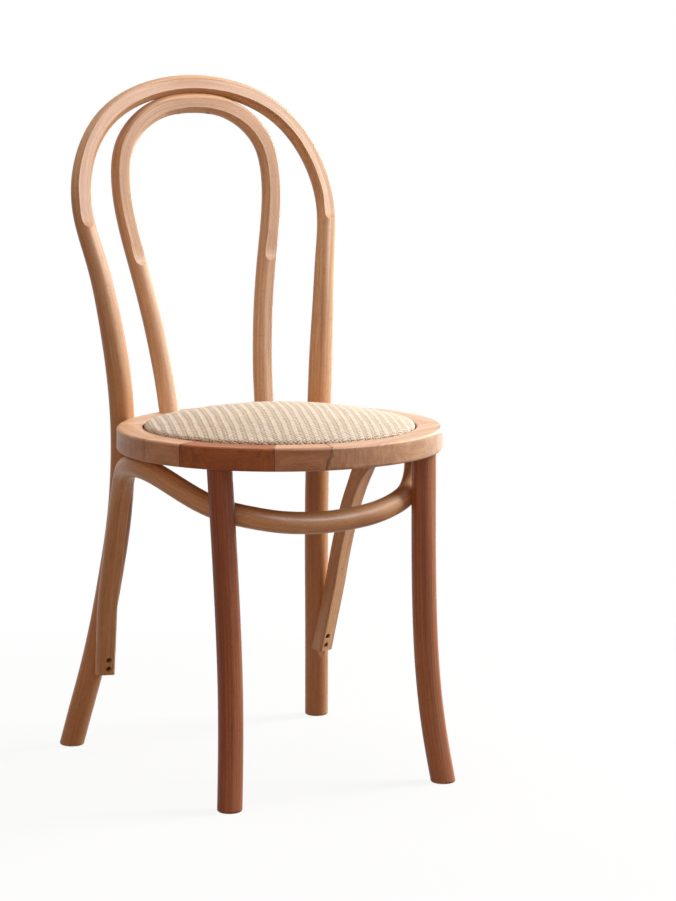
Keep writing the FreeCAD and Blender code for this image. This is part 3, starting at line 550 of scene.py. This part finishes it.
def pad_profile():
    """(radius, height) from the crown over the shoulder and down the side, every
    half millimetre of its length."""
    crown, shoulder_r, shoulder_z = 0.4746, 0.1670, 0.4545
    rise = crown - shoulder_z
    ball = (shoulder_r ** 2 + rise ** 2) / (2 * rise)
    half = math.asin(shoulder_r / ball)
    line = [(ball * math.sin(a), crown - ball + ball * math.cos(a))
            for a in np.linspace(0, half, 200)]
    slope = -half
    r, z = line[-1]
    bend_steps, bend_run, bend_end = 15, 0.0088, math.radians(93)
    bends = np.linspace(0, 1, bend_steps + 1) ** 1.3
    for k in range(1, bend_steps + 1):
        angle = slope - (bend_end + slope) * (bends[k] + bends[k - 1]) / 2
        r += bend_run / bend_steps * math.cos(angle)
        z += bend_run / bend_steps * math.sin(angle)
        line.append((r, z))
    side_r, side_z = line[-1]
    side_steps, side_end, side_pull, side_taper = 8, 0.4312, 0.0011, 0.0002
    for k in range(1, side_steps + 1):
        share = k / side_steps
        pull = side_pull * math.sin(math.pi * share)
        line.append((side_r - pull - side_taper * share,
                     side_z + (side_end - side_z) * share))
    line = np.array(line)
    run = np.concatenate([[0], np.cumsum(np.linalg.norm(np.diff(line, axis=0), axis=1))])
    even = np.arange(0, run[-1], 0.0005)
    even = np.append(even, run[-1])
    return even, np.interp(even, run, line[:, 0]), np.interp(even, run, line[:, 1])


def weave(u, v):
    """Height, place along and across the upper cord, and its number, of a two over two
    under twill at flat places u, v, in cord widths."""
    i = np.round(u)
    j = np.round(v)
    crimp_u = np.cos(np.pi / 2 * (v - (0.5 - i)))
    crimp_v = np.cos(np.pi / 2 * (u - (2.5 - j)))
    crimp_u = np.sign(crimp_u) * np.abs(crimp_u) ** 0.7
    crimp_v = np.sign(crimp_v) * np.abs(crimp_v) ** 0.7
    round_u = np.sqrt(np.clip(1 - ((u - i) / HALF_CORD) ** 2, 0.0, 1))
    round_v = np.sqrt(np.clip(1 - ((v - j) / HALF_CORD) ** 2, 0.0, 1))
    high_u = CRIMP * crimp_u + round_u - 1
    high_v = CRIMP * crimp_v + round_v - 1
    first = high_u >= high_v
    height = np.where(first, high_u, high_v)
    furrow = np.abs((u + v + 0.5 + 2.0) % 4.0 - 2.0)
    # a furrow on each side of a band, and the middle of the band filled
    height = height - 0.30 * np.exp(-(furrow / 0.24) ** 2)
    height = height + 0.34 * np.exp(-((2.0 - furrow) / 0.50) ** 2)
    along = np.where(first, v, u)
    across = np.where(first, u - i, v - j)
    number = np.where(first, i * 2, j * 2 + 1)
    return height, along, across, number


def flat_grid(reach):
    """Square mesh over a disc: places u and v of its points, its faces, and its rim in
    order."""
    step = CORD / STEPS
    count = int(reach / step) + 2
    line = np.arange(-count, count + 1) * step
    u, v = np.meshgrid(line, line, indexing="ij")
    inside = np.hypot(u, v) <= reach
    corners = [(slice(None, -1), slice(None, -1)), (slice(1, None), slice(None, -1)),
               (slice(1, None), slice(1, None)), (slice(None, -1), slice(1, None))]
    keep = np.logical_and.reduce([inside[corner] for corner in corners])
    used = np.zeros_like(inside)
    for corner in corners:
        used[corner] |= keep
    index = -np.ones(inside.shape, dtype=int)
    index[used] = np.arange(used.sum())
    quads = np.stack([index[corner][keep] for corner in corners], axis=1)
    edges = {}
    for a, b in ((0, 1), (1, 2), (2, 3), (3, 0)):
        for p, q in zip(quads[:, a], quads[:, b]):
            edges[(p, q)] = True
    rim = {p: q for p, q in edges if (q, p) not in edges}
    loop = [next(iter(rim))]
    while rim[loop[-1]] != loop[0]:
        loop.append(rim[loop[-1]])
    return u[used], v[used], quads, np.array(loop)


def around_seat(radius, angle, height):
    """Points at a radius and a bearing from the middle of the seat."""
    return np.column_stack([SEAT_CENTRE[0] + radius * np.cos(angle),
                            SEAT_CENTRE[1] + radius * np.sin(angle), height])


def make_pad():
    """The weave laid over the profile of the pad, closed inside it."""
    run, radius, level = pad_profile()
    reach = run[-1]
    u, v, quads, loop = flat_grid(reach)
    far = np.hypot(u, v)
    far[loop] = reach
    wobble = 0.10 * np.sin(u * 61 + 1.0) * np.sin(v * 53) + 0.05 * np.sin(u * 170 + v * 90)
    height, along, across, number = weave(u / CORD + wobble, v / CORD + wobble * 0.7)
    own = np.random.default_rng(4).uniform(0, 1, TONES)[number.astype(int) % TONES]
    fade = np.clip((reach - far - FADE_START) / FADE_LENGTH, 0, 1)
    lift = (height * RELIEF + (own - 0.5) * UNEVEN) * fade - LET_IN
    # laid over the profile and lifted along its normal
    out = -np.interp(far, run, np.gradient(level, run))
    up = np.interp(far, run, np.gradient(radius, run))
    size = np.hypot(out, up)
    angle = np.arctan2(v, u) + RIB + math.pi / 4
    rho = np.minimum(np.interp(far, run, radius) + lift * out / size, PAD_RADIUS)
    z = np.interp(far, run, level) + lift * up / size
    top_count = len(u)
    rings = [around_seat(r, angle[loop], np.full(len(loop), h)) for r, h in TURN_IN]
    points = np.vstack([around_seat(rho, angle, z)] + rings + [[(*SEAT_CENTRE, BOARD_TOP)]])
    ids = [loop] + [top_count + k * len(loop) + np.arange(len(loop))
                    for k in range(len(rings))]
    quads = np.vstack([quads] + [
        np.stack([np.roll(a, -1), a, b, np.roll(b, -1)], axis=1)
        for a, b in zip(ids[:-1], ids[1:])])
    centre = np.full(len(loop), len(points) - 1)
    fan = np.stack([np.roll(ids[-1], -1), ids[-1], centre], axis=1)
    mesh = bpy.data.meshes.new("seat_pad")
    mesh.vertices.add(len(points))
    mesh.vertices.foreach_set("co", points.ravel())
    mesh.loops.add(quads.size + fan.size)
    mesh.loops.foreach_set("vertex_index", np.concatenate([quads.ravel(), fan.ravel()]))
    mesh.polygons.add(len(quads) + len(fan))
    starts = np.concatenate([np.arange(len(quads)) * 4,
                             quads.size + np.arange(len(fan)) * 3])
    mesh.polygons.foreach_set("loop_start", starts)
    mesh.polygons.foreach_set("use_smooth", np.ones(len(starts), dtype=bool))
    mesh.update()
    mesh.validate()
    # for the material: place in the cord with its tone, and for the painted shade in the
    #     gaps 0 in a gap to 1 on a cord
    blank = len(points) - top_count
    fibre = np.vstack([np.column_stack([along * CORD, across, own]), np.zeros((blank, 3))])
    layer = mesh.attributes.new("fibre", "FLOAT_VECTOR", "POINT")
    layer.data.foreach_set("vector", fibre.ravel())
    deep = np.clip((height + 1.1) / 1.5, 0, 1)
    layer = mesh.attributes.new("depth", "FLOAT", "POINT")
    layer.data.foreach_set("value", np.concatenate([deep, np.full(blank, 0.5)]))
    pad = bpy.data.objects.new("seat_pad", mesh)
    bpy.context.scene.collection.objects.link(pad)
    return pad


def woven_cord():
    """Twisted cream cords, each in a tone of its own, with painted shade in the gaps between
    them.
    """
    t = Tree("woven_cord")
    fibre = t.add("ShaderNodeAttribute", attribute_name="fibre").outputs["Vector"]
    depth = t.add("ShaderNodeAttribute", attribute_name="depth").outputs["Fac"]
    own = t.dot(fibre, UP)
    lines = t.noise(t.scaled(fibre, 160, 9.0, 37.0, 2.0), detail=3.0, roughness=0.6)
    place = t.place()
    cloud = t.noise(t.scaled(place, 30, 30, 30, 1.0), detail=3.0)
    speck = t.noise(t.scaled(place, 900, 900, 900, 8.0), detail=2.0)
    color = t.mix(t.span(own, 0.0, 1.0, smooth=False), rgb(224, 216, 202),
                  rgb(213, 200, 180))
    color = t.mix(t.span(lines, 0.4, 0.75, 0.0, 0.45), color, rgb(196, 174, 140))
    color = t.mix(t.span(cloud, 0.4, 0.7, 0.0, 0.25), color, rgb(232, 212, 184))
    color = t.mix(t.span(speck, 0.66, 0.76, 0.0, 0.35), color, rgb(176, 146, 106))
    # painted shade, dark in the gaps between the cords
    color = t.mix(t.span(depth, 0.40, 0.70, 0.94, 0.0), color, rgb(96, 64, 36))
    bumped = t.bump(lines, 0.35, 0.0005)
    return t.surface(color, t.math("MULTIPLY_ADD", lines, 0.2, 0.62), bumped,
                     Specular_IOR_Level=0.25, Sheen_Weight=0.12, Sheen_Roughness=0.5)


pad = make_pad()
pad.data.materials.append(woven_cord())
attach(pad, "root")
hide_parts("seat_cover", "seat_foam")


# Floor, background and light
def pale_stage(name, share):
    """A matt pale surface that the camera sees nearly white, with its shadows kept. Away
    from the chair it goes over into the white of the background."""
    t = Tree(name)
    place = t.place()
    cloud = t.noise(t.scaled(place, 0.8, 0.8, 0.8), detail=2.0)
    color = t.mix(t.span(cloud, 0.3, 0.7), (0.82, 0.82, 0.82, 1), (0.80, 0.80, 0.80, 1))
    away = t.add("ShaderNodeVectorMath", operation="LENGTH")
    t.feed(away.inputs[0], place)
    near = t.span(away.outputs["Value"], 0.45, 1.15, share, 1.0)
    straight = t.add("ShaderNodeLightPath").outputs["Is Camera Ray"]
    matt = t.add("ShaderNodeBsdfDiffuse")
    t.feed(matt.inputs["Color"], t.mix(straight, (0.24, 0.155, 0.12, 1), color))
    glow = t.add("ShaderNodeEmission")
    t.feed(glow.inputs["Color"], (1, 1, 1, 1))
    t.feed(glow.inputs["Strength"], 1.0)
    return t.blend(t.math("MULTIPLY", t.looked_at(), near), matt, glow)


def make_floor():
    mesh = bpy.data.meshes.new("floor")
    half = 9.0
    corners = [(-half, -half, 0), (half, -half, 0), (half, half, 0), (-half, half, 0)]
    mesh.from_pydata(corners, [], [(0, 1, 2, 3)])
    floor = bpy.data.objects.new("floor", mesh)
    bpy.context.scene.collection.objects.link(floor)
    floor.data.materials.append(pale_stage("floor_pale", 0.90))


make_floor()


def area_light(name, place, aim, width, height, power, color):
    """A rectangular lamp at a place, turned to its aim."""
    data = bpy.data.lights.new(name, "AREA")
    data.shape = "RECTANGLE"
    data.size = width
    data.size_y = height
    data.energy = power
    data.color = color
    lamp = bpy.data.objects.new(name, data)
    bpy.context.scene.collection.objects.link(lamp)
    lamp.location = place
    lamp.rotation_euler = (Vector(aim) - Vector(place)).to_track_quat("-Z", "Y").to_euler()
    return lamp


area_light("key", (2.60, -0.62, 2.10), (0, 0, 0.45), 1.4, 1.6, 132.0, (1.0, 0.99, 0.98))
area_light("top", (0.0, 0.2, 3.2), (0, 0, 0.4), 1.6, 1.6, 34.0, (1.0, 1.0, 1.0))
area_light("fill", (-2.6, -2.6, 1.3), (0, 0, 0.5), 2.4, 2.0, 17.0, (1.0, 0.62, 0.38))
# white cards that only gleam: on the planed fronts of the hoops and on right hand edges
for name, place, aim, width, height, power in (
        ("card_front", (1.38, -2.65, 2.50), (0, 0.2, 0.78), 1.8, 1.1, 210.0),
        ("card_back", (2.75, 1.70, 1.0), (0, 0, 0.5), 1.6, 1.8, 70.0)):
    card = area_light(name, place, aim, width, height, power, (1.0, 1.0, 1.0))
    card.visible_diffuse = False
    card.visible_camera = False


def make_world():
    """A dim warm surround that lights the chair, white where it is looked at."""
    t = Tree("studio", world=True)
    bpy.context.scene.world = t.owner
    dim = t.add("ShaderNodeBackground")
    t.feed(dim.inputs["Color"], (1.0, 0.60, 0.40, 1))
    t.feed(dim.inputs["Strength"], 0.18)
    white = t.add("ShaderNodeBackground")
    t.feed(white.inputs["Color"], (1, 1, 1, 1))
    t.feed(white.inputs["Strength"], 1.0)
    t.blend(t.looked_at(), dim, white)


make_world()
